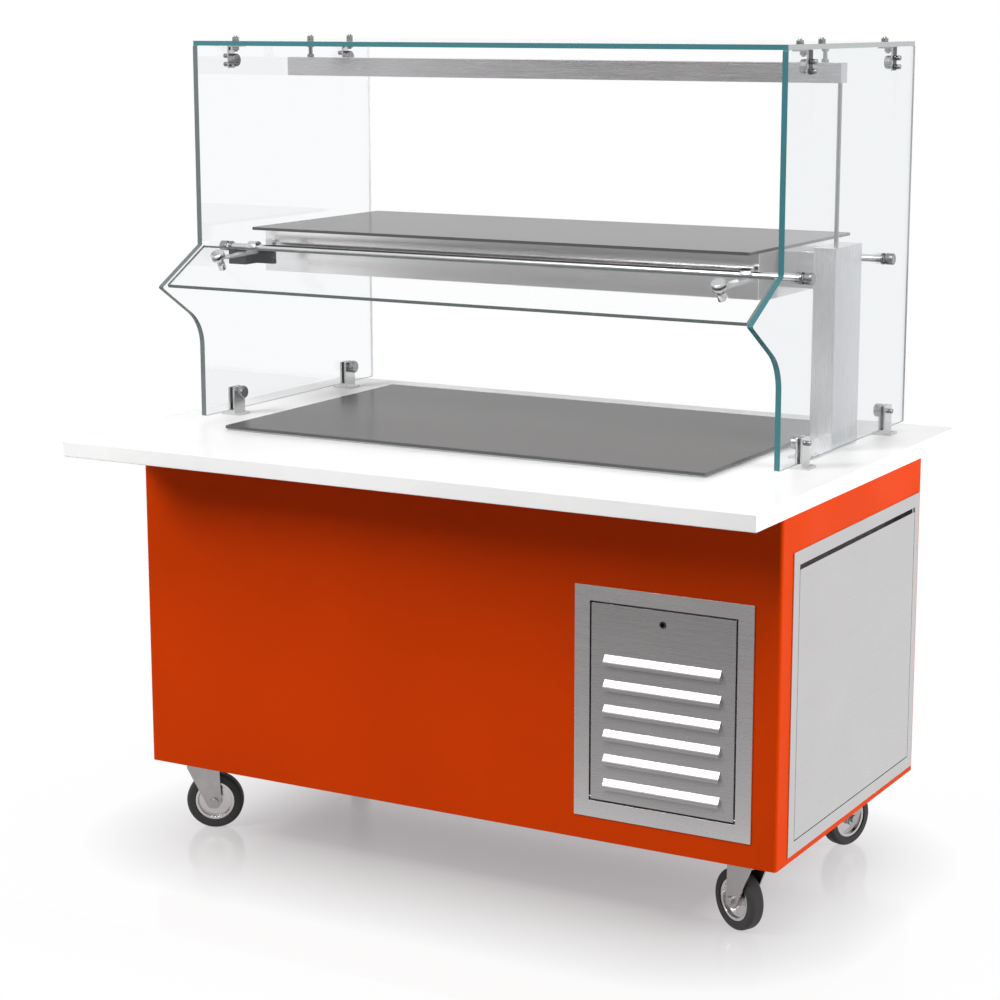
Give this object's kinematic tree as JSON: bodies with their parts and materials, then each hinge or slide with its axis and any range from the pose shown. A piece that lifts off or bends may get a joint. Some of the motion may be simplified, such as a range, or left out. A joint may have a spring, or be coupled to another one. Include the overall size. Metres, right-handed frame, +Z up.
{
  "type": "mobile salad bar",
  "caption": "Mobile serving counter on swivel castors, with a cold glass deck, a glass gantry with mid shelf, slanted nose pane and light bar, a louvred access door and an end door.",
  "frame": {"origin": "on the floor under the middle of the worktop", "axes": "+Z up, long front faces -Y, service door end faces +X"},
  "size_m": [1.568, 1.06, 1.729],
  "materials": {
    "orange_powder_coat": "semi-gloss powder coat",
    "white_worktop": "satin white solid surface",
    "galvanised_steel": "matt zinc",
    "grey_glass": "grey glass, polished",
    "clear_glass": "clear toughened glass, polished edges",
    "brushed_steel": "fine brushed",
    "chrome": "polished",
    "dark_bracket": "black",
    "light_bar_grey": "satin grey",
    "opal_diffuser": "opal",
    "led_board": "white board",
    "aluminium": "mill finish",
    "copper": "copper",
    "black_enamel": "black enamel",
    "fan_plastic": "moulded",
    "castor_steel": "zinc plated",
    "castor_rim": "plated",
    "tyre": "black rubber"
  },
  "bodies": {
    "root": {"base_frame": "galvanised_steel", "castor_plates": "castor_steel", "cold_plate": "aluminium", "compressor": "black_enamel", "condenser": "aluminium", "corner_posts": "galvanised_steel", "deck_frame": "brushed_steel", "deck_glass": "grey_glass", "end_glass_left": "clear_glass", "end_glass_right": "clear_glass", "evaporator_coil": "copper", "fan_shroud": "black_enamel", "floor_pan": "galvanised_steel", "front_panel": "orange_powder_coat", "glass_feet": "chrome", "glass_knobs": "chrome", "hinge_pins": "chrome", "insulated_pan": "galvanised_steel", "led_board": "led_board", "left_end_panel": "orange_powder_coat", "light_conduit": "chrome", "light_diffuser": "opal_diffuser", "light_housing": "light_bar_grey", "louvre_frame": "brushed_steel", "rear_panel": "orange_powder_coat", "right_end_panel": "orange_powder_coat", "shelf_body": "brushed_steel", "shelf_brackets": "dark_bracket", "shelf_glass": "grey_glass", "shelf_support_arm": "brushed_steel", "side_door_frame": "brushed_steel", "tie_rods": "chrome", "top_brackets": "chrome", "top_fixings": "chrome", "top_glass": "clear_glass", "unit_tray": "galvanised_steel", "upper_frame": "galvanised_steel", "upright": "brushed_steel", "upright_foot_plate": "brushed_steel", "upright_screws": "chrome", "worktop": "white_worktop"},
    "nose_pane": {"nose_glass": "clear_glass", "nose_clamp_arms": "chrome", "nose_clamp_jaws": "chrome"},
    "louvre_door": {"louvre_door": "brushed_steel"},
    "lock": {"lock_barrel": "chrome"},
    "side_door": {"side_door": "brushed_steel"},
    "fan": {"fan_rotor": "fan_plastic"},
    "swivel_front_left": {"castor_fork_front_left": "castor_steel"},
    "wheel_front_left": {"wheel_rim_front_left": "castor_rim", "tyre_front_left": "tyre"},
    "swivel_front_right": {"castor_fork_front_right": "castor_steel"},
    "wheel_front_right": {"wheel_rim_front_right": "castor_rim", "tyre_front_right": "tyre"},
    "swivel_rear_left": {"castor_fork_rear_left": "castor_steel"},
    "wheel_rear_left": {"wheel_rim_rear_left": "castor_rim", "tyre_rear_left": "tyre"},
    "swivel_rear_right": {"castor_fork_rear_right": "castor_steel"},
    "wheel_rear_right": {"wheel_rim_rear_right": "castor_rim", "tyre_rear_right": "tyre"}
  },
  "joints": [
    {"name": "nose_pane_tilt", "type": "hinge", "parent": "root", "child": "nose_pane", "pos_m": [0, -0.08, 1.276], "axis": [-1, 0, 0], "range_deg": [0, 30]},
    {"name": "louvre_door_hinge", "type": "hinge", "parent": "root", "child": "louvre_door", "pos_m": [0.4995, -0.3105, 0.25], "axis": [1, 0, 0], "range_deg": [0, 90]},
    {"name": "lock_turn", "type": "hinge", "parent": "louvre_door", "child": "lock", "pos_m": [0.4995, -0.3, 0.619], "axis": [0, -1, 0], "range_deg": [0, 90]},
    {"name": "side_door_hinge", "type": "hinge", "parent": "root", "child": "side_door", "pos_m": [0.7425, 0.393, 0.46], "axis": [0, 0, 1], "range_deg": [0, 100]},
    {"name": "fan_spin", "type": "hinge", "parent": "root", "child": "fan", "pos_m": [0.485, -0.168, 0.2725], "axis": [0, 1, 0], "continuous": true},
    {"name": "swivel_front_left", "type": "hinge", "parent": "root", "child": "swivel_front_left", "pos_m": [-0.668, -0.25, 0.14], "axis": [0, 0, 1], "continuous": true},
    {"name": "wheel_front_left", "type": "hinge", "parent": "swivel_front_left", "child": "wheel_front_left", "pos_m": [-0.63476, -0.23158, 0.0625], "axis": [-0.4848, 0.8746, 0], "continuous": true},
    {"name": "swivel_front_right", "type": "hinge", "parent": "root", "child": "swivel_front_right", "pos_m": [0.668, -0.25, 0.14], "axis": [0, 0, 1], "continuous": true},
    {"name": "wheel_front_right", "type": "hinge", "parent": "swivel_front_right", "child": "wheel_front_right", "pos_m": [0.63445, -0.23216, 0.0625], "axis": [-0.4695, -0.8829, 0], "continuous": true},
    {"name": "swivel_rear_left", "type": "hinge", "parent": "root", "child": "swivel_rear_left", "pos_m": [-0.644, 0.376, 0.14], "axis": [0, 0, 1], "continuous": true},
    {"name": "wheel_rear_left", "type": "hinge", "parent": "swivel_rear_left", "child": "wheel_rear_left", "pos_m": [-0.625, 0.34309, 0.0625], "axis": [0.866, 0.5, 0], "continuous": true},
    {"name": "swivel_rear_right", "type": "hinge", "parent": "root", "child": "swivel_rear_right", "pos_m": [0.644, 0.376, 0.14], "axis": [0, 0, 1], "continuous": true},
    {"name": "wheel_rear_right", "type": "hinge", "parent": "swivel_rear_right", "child": "wheel_rear_right", "pos_m": [0.631, 0.34029, 0.0625], "axis": [0.9397, -0.342, 0], "continuous": true}
  ]
}
